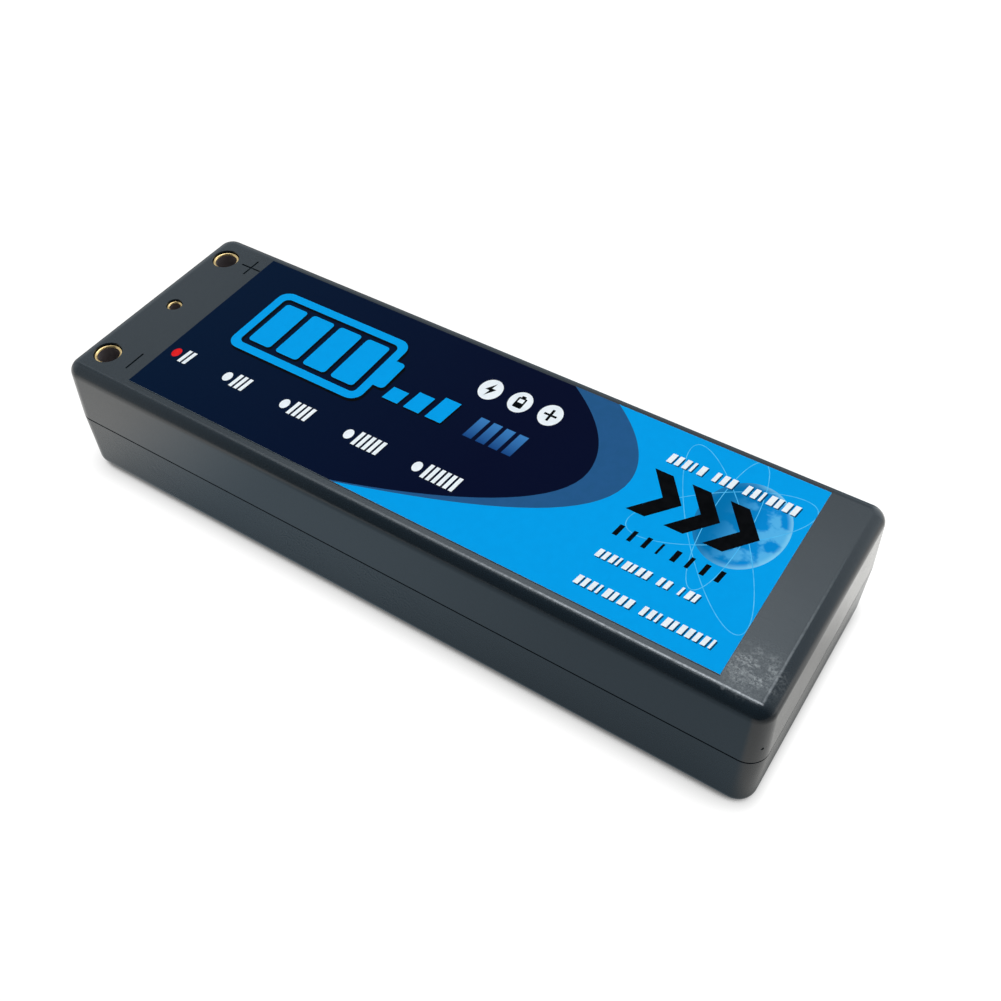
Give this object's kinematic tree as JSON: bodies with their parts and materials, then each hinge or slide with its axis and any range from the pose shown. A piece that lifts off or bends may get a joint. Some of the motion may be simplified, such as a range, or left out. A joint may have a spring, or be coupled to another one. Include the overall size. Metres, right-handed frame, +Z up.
{
  "type": "hard-case battery pack",
  "caption": "Flat hard-case battery pack with a hairline seam, a printed top label, and flush bullet sockets with plus and minus marks at one end.",
  "frame": {"origin": "middle of the underside of the case", "axes": "+X along the case, away from the socket end; +Y towards the side of the positive socket; +Z up, out of the labelled top"},
  "size_m": [0.138, 0.0466, 0.0251],
  "materials": {
    "case_plastic": "satin black moulded plastic with a fine grain",
    "seam_adhesive": "cured off-white case adhesive",
    "label_film": "printed film, semi-gloss",
    "gold_contact": "gold-plated, polished",
    "solder": "bright tin solder",
    "pouch_film": "satin aluminium laminate pouch",
    "seal_film": "translucent cream polypropylene",
    "aluminium_tab": "bright aluminium foil strip",
    "nickel_tab": "nickel-plated copper strip",
    "board_laminate": "glass-fibre laminate with solder mask",
    "copper_strip": "bare copper strip",
    "insulator_paper": "blue-grey insulating paper",
    "wire_sleeve": "silicone wire sleeve",
    "spacer_tape": "double-sided foam tape",
    "band_tape": "amber polyimide tape",
    "foam": "closed-cell foam"
  },
  "bodies": {
    "root": {"upper_case": "case_plastic", "lower_case": "case_plastic", "seam_adhesive": "seam_adhesive", "top_label": "label_film", "positive_socket": "gold_contact", "negative_socket": "gold_contact", "balance_socket": "gold_contact", "positive_solder_joint": "solder", "negative_solder_joint": "solder", "balance_solder_joint": "solder", "lower_cell": "pouch_film", "upper_cell": "pouch_film", "lower_positive_tab_seal": "seal_film", "lower_negative_tab_seal": "seal_film", "upper_positive_tab_seal": "seal_film", "upper_negative_tab_seal": "seal_film", "upper_positive_tab": "aluminium_tab", "lower_positive_tab": "aluminium_tab", "upper_negative_tab": "nickel_tab", "lower_negative_tab": "nickel_tab", "terminal_board": "board_laminate", "positive_busbar": "copper_strip", "negative_busbar": "copper_strip", "series_bar": "copper_strip", "tab_insulator": "insulator_paper", "balance_wire": "wire_sleeve", "cell_spacer_tape": "spacer_tape", "front_stack_band": "band_tape", "rear_stack_band": "band_tape", "bottom_foam_pad": "foam", "top_foam_pad": "foam", "end_foam_block": "foam"}
  },
  "joints": []
}
